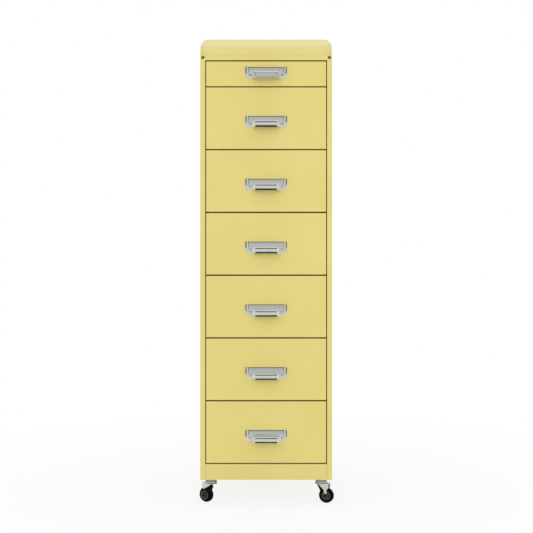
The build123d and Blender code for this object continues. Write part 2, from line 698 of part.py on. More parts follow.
make_side_panel(-1, "side_panel_left")
make_side_panel(1, "side_panel_right")
make_flanged_panel("back_panel", BACK_Y, -1, BODY_LOW, POST_TOP)
make_flanged_panel("plinth_panel", FRONT_Y, 1, BODY_LOW, BODY_LOW + PLINTH_HEIGHT)
make_bottom_pan()
make_top_frame()
make_frame_screws()
make_top_cap()
make_runner_channels(-1, "runner_channels_left")
make_runner_channels(1, "runner_channels_right")

for index, (low, height, rise) in enumerate(drawer_fronts()):
    pull_top = low + height / 2 + rise
    make_tray(f"drawer_{index + 1}_tray", low, height)
    make_front(f"drawer_{index + 1}_front", low, height, rise)
    make_pull(f"drawer_{index + 1}_pull", pull_top)
    make_pull_screws(f"drawer_{index + 1}_pull_screws", pull_top)

for place in KINGPINS:
    braked = place.startswith("front")
    make_fork(place)
    make_wheel(place)
    make_axle(place, braked)
    if braked:
        make_brake_lever(place)

make_caster_cups()
make_kingpins()
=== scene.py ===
"""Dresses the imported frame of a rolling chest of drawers: enamelled sheet steel, chromed card-frame
pulls and small swivel casters, in a pale studio. Metres, +Z up, the front faces -Y. Sizes that the
frame doesn't give are written in millimetres and scaled by MM."""

import json
import math

import bmesh
import bpy
import numpy as np
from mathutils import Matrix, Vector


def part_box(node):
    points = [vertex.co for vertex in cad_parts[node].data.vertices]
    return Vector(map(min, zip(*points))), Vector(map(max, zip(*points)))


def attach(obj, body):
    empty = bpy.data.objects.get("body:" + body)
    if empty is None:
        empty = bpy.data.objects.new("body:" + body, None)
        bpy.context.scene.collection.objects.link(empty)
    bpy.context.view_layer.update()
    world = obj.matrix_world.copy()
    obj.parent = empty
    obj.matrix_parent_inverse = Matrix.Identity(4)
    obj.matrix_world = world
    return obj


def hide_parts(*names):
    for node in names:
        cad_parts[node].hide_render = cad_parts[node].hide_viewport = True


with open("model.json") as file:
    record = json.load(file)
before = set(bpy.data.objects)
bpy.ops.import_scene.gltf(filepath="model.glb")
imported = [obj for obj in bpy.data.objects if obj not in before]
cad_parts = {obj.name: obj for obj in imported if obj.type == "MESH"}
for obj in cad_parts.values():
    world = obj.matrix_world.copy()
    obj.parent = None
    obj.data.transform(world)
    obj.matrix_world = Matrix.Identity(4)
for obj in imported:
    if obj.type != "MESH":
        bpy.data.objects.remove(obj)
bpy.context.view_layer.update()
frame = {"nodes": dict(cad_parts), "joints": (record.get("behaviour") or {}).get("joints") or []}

MM = 0.001
DRAWERS = 7
PLACES = ("front_left", "front_right", "rear_left", "rear_right")
MERGE_METRES = 2e-6

# Folded sheet steel
SHEET = 1.0
BEND = 1.5
CAP_RADIUS = 17.5
CAP_HEM = 10.0
# Painted highlight on the cap's shoulder: how far below its top, how wide, and how strong
SHOULDER_DROP = 12.5
SHOULDER_SPREAD = 6.5
SHOULDER_HIGHLIGHT = 0.62
FRONT_LIP = 18.0
FRONT_EASE = 0.25
TRAY_HEM = 6.0
RAIL_HEIGHT = 11.4
RAIL_MIDDLE = 20.0
RAIL_REACH = 10.0
RAIL_SETBACK = 5.0

# Pan-head screws. A shank is its radius and its length
HEADER_HEAD = 1.4
HEADER_SHANK = (1.5, 7.0)
PULL_HEAD = 1.6
PULL_SHANK = (1.7, 8.0)
SHANK_POINT = 0.6
CROSS_DEPTH = 0.7
LINING_WALL = 0.15

# Card-frame pull: across, out from the drawer front, and down from the pull's top edge
PULL_HEIGHT = 23.2
PULL_CORNER = 3.0
PULL_TOP_CORNER = 0.8
PLATE_EDGE = 0.35
PLATE_BEVEL = (1.2, 0.45)
GUIDE_HEIGHT = 13.0
GUIDE_LIP = 5.5
GUIDE_DEPTH = 3.0
HOOD_REACH = 19.0
HOOD_BACK = 27.5
HOOD_FLARE = 2.25
HOOD_TOP = 11.0
HOOD_LOW = 25.2
HOOD_ROOT = 7.5
HOOD_SLOPE = 0.8
HOOD_CORNER = 7.0
HOOD_LEAST_CORNER = 1.5
HOOD_FOOT = 0.6
HOOD_FLANGE = 2.0
HOOD_FLANGE_RADIUS = 1.4
HOOD_FRONT_POINTS = 22
BROW_FALL = 1.7
BROW_RUN = 1.3
CURL_RADIUS = 4.0
CURL_REACH = 4.6
CURL_LIP = 0.9
CHEEK_SHARE = 0.3

# Where the pulls' chrome carries painted dark reflections and shade: on the hood as depths below its top, and
# then how dark, from 0 to 1
BROW_CREASE = 3.0
CREASE_SPREAD = 1.1
CURL_START = 9.3
CURL_GAIN = 2.5
LOWER_HOOD_SHADE_START = 2.0
CHEEK_MARGIN = 3.5
CHEEK_FADE = 2.0
ROOT_MARGIN = 4.0
PLATE_TOP_REACH = 2.0
PLATE_TOP_PAINTED_DARK = 0.35
FOLD_REACH = 1.9
FOLD_PAINTED_DARK = 0.95
LIP_REACH = 0.9
LIP_PAINTED_DARK = 0.12
# Painted dark reflections per pull: strength in the crease and curl, and painted shade over the lower hood;
# the top pull has a weak crease and a faint shade
TOP_PULL_PAINTED_DARK = {"crease": 0.15, "lower_hood_shade": 0.2}
LOWER_PULLS_PAINTED_DARK = {"crease": 1.0, "lower_hood_shade": 0.0}

# Caster: along its trail, across it, and up from the floor
WHEEL_RADIUS = 16.0
WHEEL_WIDTH = 11.0
HUB_RADIUS = 10.6
CAP_END = 4.8
TREAD_ROUND = 3.0
LEG_INNER = 6.3
LEG_OUTER = 7.8
ARM_INNER = 8.1
ARM_OUTER = 10.1
CROWN_LOW = 40.7
CROWN_TOP = 42.7
CROWN_RADIUS = 13.5
CROWN_TAIL = 18.0
CUP_LOW = 43.0
CUP_TOP = 54.0
CUP_BORE = 4.2
CUP_FOOT = 12.6
CUP_NECK = 10.6
PIN_RADIUS = 4.0
PIN_HEAD = 5.8
PIN_HEAD_HEIGHT = 1.5
PIN_HEAD_GAP = 0.3
AXLE_RADIUS = 2.5
TRAIL = 11.5
LEG_LEAD = 6.0
LEG_FOOT = 3.8
LEG_NECK = 11.5
LEG_TAIL = 17.0
LEG_WELD = 0.8
TIP_AHEAD = 8.0
TIP_DROP = 4.4
TIP_RADIUS = 4.0
PEDAL_WIDTH = 7.0
PEDAL_LENGTH = 6.0
PEDAL_DEPTH = 3.0
PEDAL_START = 2.5
PEDAL_GAP = 0.8
RIB_PLACES = (0.9, 2.5, 4.1)
RIB_LENGTH = 0.9
RIB_DEPTH = 0.6
RIB_OUT = 2.7
RIB_MARGIN = 1.0
BOSS_RADIUS = 11.5
RING_AHEAD = 1.2
CAP_CLEARANCE = 0.3

# Finishes: ripples per metre, and relief in metres
ENAMEL_GLOSS = 0.35
DRIFT_SCALE = 9.0
SHEEN_SCALE = 60.0
PEEL_SCALE = 700.0
PEEL_DEPTH = 0.00003
POLISH_SCALE = 180.0
CREASE_SCALE = 400.0
DUST_SCALE = 150.0

# The camera stands level in front of the chest, at the height where its rims are seen edge on
CAMERA_X = 0.0008
CAMERA_HEIGHT = 0.5055
CAMERA_DISTANCE = 2.2
SENSOR = 36.0
METRES_PER_PIXEL = 0.002116
PICTURE_PIXELS = 533

# Studio floor, in metres from the chest's middle. Levels run from 0 for black to 1 for white
FLOOR_REACH = 8.0
PAPER_LEVEL = 0.85
PAPER_ROUGH = 0.9
NEAR_EDGE = 0.25
FAR_EDGE = 1.2
NEAR_WHITE = 0.85
ROOM_SIDE = (-0.2, -0.5)
ROOM_FLOOR_LEVEL = 0.72

# Room. The backdrop begins between two Y shares of a direction. A band is a direction's height, from 0
# for straight down to 1 for straight up, and its level
EVEN_LEVEL = 0.82
BACKDROP_SIDE = (-0.5, -0.25)
ROOM_BANDS = ((0.0, 0.25), (0.40, 0.55), (0.46, 0.76), (0.60, 0.72), (0.65, 0.10), (0.89, 0.06),
              (0.925, 0.80), (1.0, 0.80))

# How a piece's own three axes lie in the chest's frame
UPRIGHT = ((1, 0, 0), (0, 1, 0), (0, 0, 1))
FACING_BACK = ((1, 0, 0), (0, 0, 1), (0, 1, 0))
FACING_FRONT = ((1, 0, 0), (0, 0, 1), (0, -1, 0))
UP = (0, 0, 1)


def linear(red, green, blue):
    """Linear colour of an sRGB colour given in 0 to 255: the standard curve, taken channel by channel."""
    share = np.array([red, green, blue]) / 255.0
    low = share / 12.92
    high = ((share + 0.055) / 1.055) ** 2.4
    return tuple(np.where(share <= 0.04045, low, high)) + (1.0,)


def grey(level):
    """Linear grey of one level."""
    return (level, level, level, 1.0)


# Outlines


def rounded_path(points, radii, steps=6, closed=False):
    """Path through points with arcs at its corners. Each arc is tangent to both sides of its corner:
    its centre lies on the corner's bisector, and its points turn evenly from one tangent to the other."""
    points = np.asarray(points, float)
    count = len(points)
    inner = range(count) if closed else range(1, count - 1)
    radii = np.broadcast_to(radii, (len(inner),))
    pieces = [] if closed else [points[:1]]
    for radius, index in zip(radii, inner):
        corner = points[index]
        back = points[index - 1] - corner
        ahead = points[(index + 1) % count] - corner
        back = back / np.linalg.norm(back)
        ahead = ahead / np.linalg.norm(ahead)
        half = math.acos(np.clip(back @ ahead, -1.0, 1.0)) / 2
        bisector = (back + ahead) / np.linalg.norm(back + ahead)
        centre = corner + bisector * radius / math.sin(half)
        first = corner + back * radius / math.tan(half) - centre
        last = corner + ahead * radius / math.tan(half) - centre
        sweep = math.atan2(first[0] * last[1] - first[1] * last[0], first @ last)
        turn = np.linspace(0.0, sweep, steps + 1)
        cos, sin = np.cos(turn)[:, None], np.sin(turn)[:, None]
        across = np.array([-first[1], first[0]])
        pieces.append(centre + cos * first + sin * across)
    if not closed:
        pieces.append(points[-1:])
    return np.concatenate(pieces)


def finer(points, step):
    """Open path with points added along it, evenly by length, so that no two are further apart than a
    step. Its own points stay."""
    length = np.r_[0.0, np.cumsum(np.linalg.norm(np.diff(points, axis=0), axis=1))]
    marks = np.union1d(length, np.linspace(0.0, length[-1], int(length[-1] / step) + 2))
    return np.stack([np.interp(marks, length, points[:, axis]) for axis in (0, 1)], axis=1)


def side_path(points, amount):
    """Open path moved to its left by an amount: every corner moves along the sum of its two sides'
    normals, scaled so that both sides move by the amount."""
    points = np.asarray(points, float)
    run = np.diff(points, axis=0)
    run /= np.linalg.norm(run, axis=1)[:, None]
    normal = np.stack([-run[:, 1], run[:, 0]], axis=1)
    before = np.vstack([normal[:1], normal])
    after = np.vstack([normal, normal[-1:]])
    share = 1.0 + (before * after).sum(axis=1)
    return points + (before + after) * amount / share[:, None]


def folded_outline(points, sheet=SHEET, bend=BEND):
    """Closed outline of a sheet folded along a path and lying to its left. The inside of each bend
    has the bend's radius and the outside has a sheet's thickness more."""
    points = np.asarray(points, float)
    run = np.diff(points, axis=0)
    turns_left = run[:-1, 0] * run[1:, 1] - run[:-1, 1] * run[1:, 0] > 0
    near = rounded_path(points, np.where(turns_left, bend + sheet, bend))
    far = rounded_path(side_path(points, sheet), np.where(turns_left, bend, bend + sheet))
    return np.vstack([near, far[::-1]])


def hull_of_discs(first, first_radius, second, second_radius, steps=24):
    """Outline round two discs: the larger arc of each between the two straight lines that touch both."""
    first, second = np.array(first, float), np.array(second, float)
    run = second - first
    heading = math.atan2(run[1], run[0])
    lean = math.acos((first_radius - second_radius) / np.linalg.norm(run))
    wide = np.linspace(heading + lean, heading + 2 * math.pi - lean, steps)
    tight = np.linspace(heading - lean, heading + lean, steps // 2)
    wide_arc = first + first_radius * np.stack([np.cos(wide), np.sin(wide)], axis=1)
    tight_arc = second + second_radius * np.stack([np.cos(tight), np.sin(tight)], axis=1)
    return np.vstack([wide_arc, tight_arc])


def inset_outline(outline, amount):
    """Closed outline moved inward along its own normals, each the average of its two sides' normals."""
    ahead = np.roll(outline, -1, axis=0) - outline
    area = np.sum(outline[:, 0] * np.roll(outline[:, 1], -1) - outline[:, 1] * np.roll(outline[:, 0], -1))
    length = np.linalg.norm(ahead, axis=1)[:, None]
    ahead = ahead / np.maximum(length, 1e-9)
    normal = np.stack([-ahead[:, 1], ahead[:, 0]], axis=1) * np.sign(area)
    both = normal + np.roll(normal, 1, axis=0)
    both /= np.maximum(np.linalg.norm(both, axis=1)[:, None], 1e-9)
    return outline + both * amount


# Surfaces. A grid is an array of points in rows and columns, with what its ends do


def grid(points, loop_columns=True, loop_rows=False, first_cap=False, last_cap=False):
    """A surface's points with how its rows and columns join up, and each point's share of painted light."""
    points = np.asarray(points, float)
    return {
        "points": points,
        "dull": np.zeros(points.shape[:2]),
        "loop_columns": loop_columns,
        "loop_rows": loop_rows,
        "first_cap": first_cap,
        "last_cap": last_cap,
    }


def pan(profile, width, depth, corner, steps=6):
    """Folded pan: a profile of inset and height carried round a rectangle with round corners. At each
    point of the profile the rectangle shrinks by the inset on every side, and its corners' radius
    with it, down to nearly nothing."""
    inset, height = profile[:, :1], profile[:, 1:]
    radius = np.maximum(corner - inset, 0.02)
    angles = np.concatenate([np.linspace(0, math.pi / 2, steps + 1) + k * math.pi / 2 for k in range(4)])
    right = np.repeat([1.0, -1.0, -1.0, 1.0], steps + 1)[None]
    ahead = np.repeat([1.0, 1.0, -1.0, -1.0], steps + 1)[None]
    x = right * (width / 2 - inset - radius) + radius * np.cos(angles)[None]
    y = ahead * (depth / 2 - inset - radius) + radius * np.sin(angles)[None]
    return grid(np.stack([x, y, np.broadcast_to(height, x.shape)], axis=-1), first_cap=True, last_cap=True)


def plate(outline, low, high, edge=0.3, steps=3, bevel=None):
    """Flat plate whose rims are rounded: the outline is set in by edge times one minus the sine of a
    quarter turn while its height runs from each face inward by edge times one minus the cosine. A
    bevel, given as a width and a fall, takes the upper rim's place."""
    turn = np.linspace(0.0, math.pi / 2, steps + 1)
    insets = edge * (1.0 - np.sin(turn))
    rises = edge * (1.0 - np.cos(turn))
    upper = (insets[::-1], rises[::-1]) if bevel is None else ((0.0, bevel[0]), (bevel[1], 0.0))
    rows = [np.c_[inset_outline(outline, i), np.full(len(outline), low + r)] for i, r in zip(insets, rises)]
    rows += [np.c_[inset_outline(outline, i), np.full(len(outline), high - r)] for i, r in zip(*upper)]
    return grid(np.stack(rows), first_cap=True, last_cap=True)


def drawn_out(outline, start, end):
    """Closed outline drawn out straight from one height to another."""
    rows = [np.c_[outline, np.full(len(outline), height)] for height in (start, end)]
    return grid(np.stack(rows), first_cap=True, last_cap=True)


def turned(profile, steps=48, loop_rows=False):
    """Profile of radius and height turned about the height's axis: each point becomes a circle."""
    angles = np.linspace(0.0, 2 * math.pi, steps, endpoint=False)[None]
    radius, height = profile[:, :1], profile[:, 1:]
    x = radius * np.cos(angles)
    y = radius * np.sin(angles)
    return grid(np.stack([x, y, np.broadcast_to(height, x.shape)], axis=-1), loop_rows=loop_rows)


def screw_head(radius, height, steps=64):
    """Pan head with a cross recess. Its height is a dome, one minus the radius share to the sixth, less
    a recess where the point is inside either arm of the cross, whose walls slope over a short run."""

    def arm(across, along):
        """How far inside one arm a point is, from 0 to 1: the product of both directions' shares."""
        width, reach, slope = 0.11 * radius, 0.56 * radius, 0.08 * radius
        share_across = np.clip((width - np.abs(across)) / slope + 1.0, 0, 1)
        return share_across * np.clip((reach - np.abs(along)) / slope + 1.0, 0, 1)

    share = np.concatenate([np.linspace(0.0, 0.66, 19), np.linspace(0.7, 1.0, 9)])[:, None]
    angles = np.linspace(0.0, 2 * math.pi, steps, endpoint=False)[None]
    x = radius * share * np.cos(angles)
    y = radius * share * np.sin(angles)
    dome = height * (0.45 + 0.55 * (1.0 - share**6)) + 0.0 * x
    top = dome - CROSS_DEPTH * np.maximum(arm(y, x), arm(x, y))
    skirt = np.stack([x[-1], y[-1], np.zeros(steps)], axis=-1)[None]
    foot = np.zeros((1, steps, 3))
    return grid(np.concatenate([np.stack([x, y, top], axis=-1), skirt, foot]))


def screw_shank(radius, length):
    """Rod with a chamfered point, turned about the screw's axis."""
    rod = [(0.0, 0.0), (radius, 0.0), (radius, SHANK_POINT - length), (radius - SHANK_POINT, -length),
           (0.0, -length)]
    return turned(np.array(rod), 24)


def placed(surface, origin, first, second, third):
    """Surface moved into the chest: its three coordinates run along three directions from an origin in
    metres, and its sizes turn from millimetres into metres."""
    axes = np.array([first, second, third], float)
    moved = dict(surface)
    moved["points"] = np.asarray(origin, float) + surface["points"] @ axes * MM
    return moved


def make_piece(name, surfaces, finish, body, nodes=(), smooth=38.0):
    """One object from its surfaces, laid out as quads row by row with a face over each capped end.
    Points that meet are merged, and then all faces are turned outward."""
    points, dull, faces, start = [], [], [], 0
    for surface in surfaces:
        rows, columns = surface["points"].shape[:2]
        number = start + np.arange(rows * columns).reshape(rows, columns)
        if surface["first_cap"]:
            faces.append(number[0, ::-1].tolist())
        if surface["last_cap"]:
            faces.append(number[-1].tolist())
        if surface["loop_columns"]:
            number = np.hstack([number, number[:, :1]])
        if surface["loop_rows"]:
            number = np.vstack([number, number[:1]])
        quads = np.stack([number[:-1, :-1], number[:-1, 1:], number[1:, 1:], number[1:, :-1]], axis=-1)
        faces += quads.reshape(-1, 4).tolist()
        points.append(surface["points"].reshape(-1, 3))
        dull.append(surface["dull"].ravel())
        start += rows * columns
    mesh = bpy.data.meshes.new(name)
    mesh.from_pydata(np.concatenate(points), [], faces)
    # Each point's share of painted light: a painted highlight on the cap, painted dark reflections and shade
    # on the pulls
    painted_light_layer = mesh.attributes.new("dull", "FLOAT", "POINT").data
    painted_light_layer.foreach_set("value", np.concatenate(dull).astype(np.float32))
    merged = bmesh.new()
    merged.from_mesh(mesh)
    bmesh.ops.remove_doubles(merged, verts=merged.verts, dist=MERGE_METRES)
    bmesh.ops.recalc_face_normals(merged, faces=merged.faces)
    merged.to_mesh(mesh)
    merged.free()
    mesh.polygons.foreach_set("use_smooth", np.ones(len(mesh.polygons), bool))
    mesh.set_sharp_from_angle(angle=math.radians(smooth))
    mesh.materials.append(finish)
    piece = bpy.data.objects.new(name, mesh)
    bpy.context.scene.collection.objects.link(piece)
    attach(piece, body)
    if nodes:
        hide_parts(*nodes)
    return piece


# Finishes


def new_finish(name, colour, metal, rough):
    """Material with its shader, its own coordinates and a way to add nodes."""
    finish = bpy.data.materials.new(name)
    finish.use_nodes = True
    nodes = finish.node_tree.nodes
    shader = nodes["Principled BSDF"]
    shader.inputs["Base Color"].default_value = colour
    shader.inputs["Metallic"].default_value = metal
    shader.inputs["Roughness"].default_value = rough
    place = nodes.new("ShaderNodeTexCoord")
    return finish, nodes, finish.node_tree.links, shader, place.outputs["Object"]


def add_noise(nodes, links, place, scale, detail=3.0):
    """Noise over the piece, with scale in ripples per metre."""
    noise = nodes.new("ShaderNodeTexNoise")
    noise.inputs["Scale"].default_value = scale
    noise.inputs["Detail"].default_value = detail
    links.new(place, noise.inputs["Vector"])
    return noise.outputs["Fac"]


def add_range(nodes, links, value, low=0.0, high=1.0, start=0.3, end=0.7):
    """Map a value that runs from start to end to a range. A noise stays mostly between 0.3 and 0.7."""
    ramp = nodes.new("ShaderNodeMapRange")
    ramp.inputs["From Min"].default_value = start
    ramp.inputs["From Max"].default_value = end
    ramp.inputs["To Min"].default_value = low
    ramp.inputs["To Max"].default_value = high
    links.new(value, ramp.inputs["Value"])
    return ramp.outputs["Result"]


def add_bumps(nodes, links, shader, height, depth, strength=1.0):
    """Relief of a given depth in metres on the shader's normal."""
    bump = nodes.new("ShaderNodeBump")
    bump.inputs["Strength"].default_value = strength
    bump.inputs["Distance"].default_value = depth
    links.new(height, bump.inputs["Height"])
    links.new(bump.outputs["Normal"], shader.inputs["Normal"])


def add_math(nodes, links, operation, first, second):
    """One sum, product or maximum of two values, each a socket or a number."""
    maths = nodes.new("ShaderNodeMath")
    maths.operation = operation
    for socket, value in zip(maths.inputs, (first, second)):
        if isinstance(value, float):
            socket.default_value = value
        else:
            links.new(value, socket)
    return maths.outputs["Value"]


def add_mix(nodes, links, share, first, second):
    """Colour between two, each a socket or a colour."""
    mix = nodes.new("ShaderNodeMix")
    mix.data_type = "RGBA"
    links.new(share, mix.inputs[0])
    for socket, value in zip((mix.inputs[6], mix.inputs[7]), (first, second)):
        if isinstance(value, tuple):
            socket.default_value = value
        else:
            links.new(value, socket)
    return mix.outputs[2]


def add_tint(nodes, links, shader, share, light, dark):
    """Colour that wanders between two tones."""
    links.new(add_mix(nodes, links, share, dark, light), shader.inputs["Base Color"])


def enamel(name, light, dark, rough):
    """Baked enamel: a faint drift of tone, a fine orange peel and a sheen that varies a little."""
    finish, nodes, links, shader, place = new_finish(name, light, 0.0, rough)
    shader.inputs["Specular IOR Level"].default_value = ENAMEL_GLOSS
    drift = add_noise(nodes, links, place, DRIFT_SCALE)
    add_tint(nodes, links, shader, add_range(nodes, links, drift), light, dark)
    sheen = add_noise(nodes, links, place, SHEEN_SCALE)
    links.new(add_range(nodes, links, sheen, rough - 0.04, rough + 0.05), shader.inputs["Roughness"])
    add_bumps(nodes, links, shader, add_noise(nodes, links, place, PEEL_SCALE, 2.0), PEEL_DEPTH, 0.35)
    return finish


def enamel_with_painted_highlight(name, light, dark, pale, rough):
    """Baked enamel with a painted highlight: paler where the piece's own points say so."""
    finish = enamel(name, light, dark, rough)
    nodes, links = finish.node_tree.nodes, finish.node_tree.links
    colour = nodes["Principled BSDF"].inputs["Base Color"]
    share = nodes.new("ShaderNodeAttribute")
    share.attribute_name = "dull"
    links.new(add_mix(nodes, links, share.outputs["Fac"], colour.links[0].from_socket, pale), colour)
    return finish


def plated(name, colour, rough, grain, depth):
    """Plated steel: metal with cloudy polish and a fine grain."""
    finish, nodes, links, shader, place = new_finish(name, colour, 1.0, rough)
    cloud = add_noise(nodes, links, place, POLISH_SCALE)
    links.new(add_range(nodes, links, cloud, rough * 0.7, rough * 1.4), shader.inputs["Roughness"])
    add_bumps(nodes, links, shader, add_noise(nodes, links, place, grain, 2.0), depth, 0.5)
    return finish


def chromed(name, colour, painted_reflection_colour, rough, grain, depth):
    """Chrome: plated steel with painted dark reflections in its creases, where the piece's own points say so,
    with a cloudy edge to the painted part."""
    finish = plated(name, colour, rough, grain, depth)
    nodes, links = finish.node_tree.nodes, finish.node_tree.links
    shader = nodes["Principled BSDF"]
    crease = nodes.new("ShaderNodeAttribute")
    crease.attribute_name = "dull"
    place = nodes.new("ShaderNodeTexCoord").outputs["Object"]
    cloud = add_range(nodes, links, add_noise(nodes, links, place, CREASE_SCALE), 0.85, 1.15)
    share = add_math(nodes, links, "MULTIPLY", crease.outputs["Fac"], cloud)
    add_tint(nodes, links, shader, share, painted_reflection_colour, colour)
    return finish


def moulded(name, light, dark, rough, gloss, grain, depth):
    """Moulded rubber or plastic: dark, with a dusty drift of tone and a fine grain."""
    finish, nodes, links, shader, place = new_finish(name, light, 0.0, rough)
    shader.inputs["Specular IOR Level"].default_value = gloss
    dust = add_noise(nodes, links, place, DUST_SCALE)
    add_tint(nodes, links, shader, add_range(nodes, links, dust), light, dark)
    links.new(add_range(nodes, links, dust, rough - 0.08, rough + 0.08), shader.inputs["Roughness"])
    add_bumps(nodes, links, shader, add_noise(nodes, links, place, grain, 2.0), depth, 0.6)
    return finish


cabinet_enamel = enamel("cabinet_enamel", linear(225, 211, 131), linear(221, 206, 124), rough=0.42)
# The cap's enamel carries a painted highlight, a pale band along its rounded shoulder
cap_enamel = enamel_with_painted_highlight("cap_enamel", linear(226, 212, 136), linear(222, 207, 129),
                   pale=linear(232, 220, 184), rough=0.42)
front_enamel = enamel("front_enamel", linear(226, 211, 129), linear(222, 206, 122), rough=0.42)
tray_enamel = enamel("tray_enamel", linear(223, 209, 131), linear(218, 203, 123), rough=0.48)
# Pull chrome: its painted dark reflections go near black where the piece's points say so
pull_chrome = chromed("pull_chrome", (0.79, 0.81, 0.77, 1.0), painted_reflection_colour=(0.05, 0.052, 0.052, 1.0),
                      rough=0.10, grain=2500.0, depth=0.000004)
screw_steel = plated("screw_steel", (0.76, 0.76, 0.75, 1.0), rough=0.16, grain=3000.0, depth=0.000005)
# Header screws: a yellowish screw tone, darkened to a dark olive that paints the shade inside the dimples
shaded_header_steel = plated("shaded_header_steel", (0.28, 0.25, 0.10, 1.0), rough=0.45, grain=3000.0, depth=0.000005)
zinc_plate = plated("zinc_plate", (0.76, 0.78, 0.77, 1.0), rough=0.24, grain=1800.0, depth=0.00001)
# Bearing cups and kingpin heads: the forks' zinc darkened, as painted shade under the floor pan
shaded_cup_zinc = plated("shaded_cup_zinc", (0.52, 0.54, 0.52, 1.0), rough=0.26, grain=1800.0, depth=0.00001)
tyre_rubber = moulded("tyre_rubber", grey(0.0045), grey(0.002),
                      rough=0.75, gloss=0.08, grain=2600.0, depth=0.00002)
hub_plastic = moulded("hub_plastic", (0.062, 0.063, 0.062, 1.0), grey(0.042),
                      rough=0.42, gloss=0.35, grain=2200.0, depth=0.00001)
brake_plastic = moulded("brake_plastic", grey(0.0035), grey(0.0015),
                        rough=0.55, gloss=0.08, grain=2200.0, depth=0.00001)

for node in ("side_panel_left", "side_panel_right", "back_panel", "plinth_panel", "bottom_pan", "top_frame",
             "runner_channels_left", "runner_channels_right"):
    kept = frame["nodes"][node]
    kept.data.materials.clear()
    kept.data.materials.append(cabinet_enamel)


# Cabinet


def box_corners(node):
    """Lowest and highest corner of a CAD node's box, in metres."""
    low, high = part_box(node)
    return np.array(low, float), np.array(high, float)


def size_mm(node):
    """Middle of a node's foot in metres, and its size in millimetres."""
    low, high = box_corners(node)
    return np.array([(low[0] + high[0]) / 2, (low[1] + high[1]) / 2, low[2]]), (high - low) / MM


def screw_places(node):
    """Radius in millimetres of the two heads at the ends of a node's box, and their x and z in metres."""
    low, high = box_corners(node)
    radius = (high[2] - low[2]) / 2 / MM
    return radius, [(x, (low[2] + high[2]) / 2) for x in (low[0] + radius * MM, high[0] - radius * MM)]


def make_cap():
    """Rounded cap: a pan with a wide round upper edge and a hem turned in along its foot. A painted highlight
    makes it palest along a line on its shoulder, fading off with the square of the height from the line."""
    foot, (width, depth, height) = size_mm("top_cap")
    path = [(CAP_RADIUS, height), (0, height), (0, 0), (CAP_HEM, 0), (CAP_HEM, SHEET), (SHEET, SHEET),
            (SHEET, height - SHEET), (CAP_RADIUS, height - SHEET)]
    radii = [CAP_RADIUS - 0.01, 0.8, 0.3, 0.3, 0.3, CAP_RADIUS - SHEET - 0.02]
    cap = pan(finer(rounded_path(path, radii, 10), step=4.0), width, depth, CAP_RADIUS, 10)
    drop = height - cap["points"][..., 2]
    # Painted highlight: each point's share of the pale tone, strongest along the shoulder
    cap["dull"] = SHOULDER_HIGHLIGHT * np.exp(-(((drop - SHOULDER_DROP) / SHOULDER_SPREAD) ** 2))
    make_piece("cap", [placed(cap, foot, *UPRIGHT)], cap_enamel, "cabinet", ["top_cap"])


def make_header_screws():
    """Screws in the header's dimples, and each dimple's pressed lining: a profile of radius and height,
    from a rim on the header's face down a round wall to the seat, turned about the screw's axis."""
    radius, places = screw_places("frame_screws")
    face_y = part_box("top_frame")[0][1]
    seat = (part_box("frame_screws")[0][1] - face_y) / MM + HEADER_HEAD
    lining = [(4.9, 0.06), (4.3, 0.08), (4.0, -0.25), (3.3, -seat + 0.15), (3.0, -seat), (1.2, -seat)]
    screws, linings = [], []
    for x, z in places:
        for part in (screw_head(radius, HEADER_HEAD), screw_shank(*HEADER_SHANK)):
            screws.append(placed(part, (x, face_y + seat * MM, z), *FACING_FRONT))
        linings.append(placed(turned(rounded_path(lining, 0.2, 3)), (x, face_y, z), *FACING_FRONT))
    make_piece("header_screws", screws, shaded_header_steel, "cabinet", ["frame_screws"])
    rings = make_piece("header_dimples", linings, cabinet_enamel, "cabinet")
    wall = rings.modifiers.new("wall", "SOLIDIFY")
    wall.thickness = LINING_WALL * MM
    wall.offset = -1.0


# Drawers


def make_tray(number):
    """Open tray: a pan with round bends and a hem folded in at its rim, and a rail on each side: a folded
    channel's outline drawn out straight."""
    node = f"drawer_{number}_tray"
    foot, (width, depth, height) = size_mm(node)
    width -= 2 * RAIL_REACH
    path = [(4, 0), (0, 0), (0, height), (2 * SHEET, height), (2 * SHEET, height - TRAY_HEM),
            (SHEET, height - TRAY_HEM), (SHEET, SHEET), (4, SHEET)]
    tray = pan(rounded_path(path, [2.2, 0.9, 0.9, 0.2, 0.2, 1.2], 5), width, depth, 2.5)
    surfaces = [placed(tray, foot, *UPRIGHT)]
    low, high = RAIL_MIDDLE - RAIL_HEIGHT / 2, RAIL_MIDDLE + RAIL_HEIGHT / 2
    rail = folded_outline([(RAIL_REACH, high), (0, high), (0, low), (RAIL_REACH, low)], bend=0.6)
    for side in (-1, 1):
        wall = foot + np.array([side * width / 2 * MM, 0.0, 0.0])
        run = drawn_out(rail, -depth / 2 + RAIL_SETBACK, depth / 2)
        surfaces.append(placed(run, wall, (side, 0, 0), UP, (0, 1, 0)))
    make_piece(f"tray_{number}", surfaces, tray_enamel, f"drawer_{number}", [node])


def make_front(number):
    """Hollow front: a pan that opens backward, with round bends and return lips on its four sides. Each
    side is eased in a little from its CAD node's, for the shade in the gaps between the fronts."""
    node = f"drawer_{number}_front"
    foot, (width, depth, height) = size_mm(node)
    middle = foot + np.array([0.0, -depth / 2, height / 2]) * MM
    path = [(4, 0), (0, 0), (0, depth), (FRONT_LIP, depth), (FRONT_LIP, depth - SHEET),
            (SHEET, depth - SHEET), (SHEET, SHEET), (4, SHEET)]
    radii = [0.5, 1.2, 0.3, 0.3, 0.4, 0.2]
    front = pan(rounded_path(path, radii, 6), width - 2 * FRONT_EASE, height - 2 * FRONT_EASE, 1.0)
    front = placed(front, middle, *FACING_BACK)
    make_piece(f"front_{number}", [front], front_enamel, f"drawer_{number}", [node])


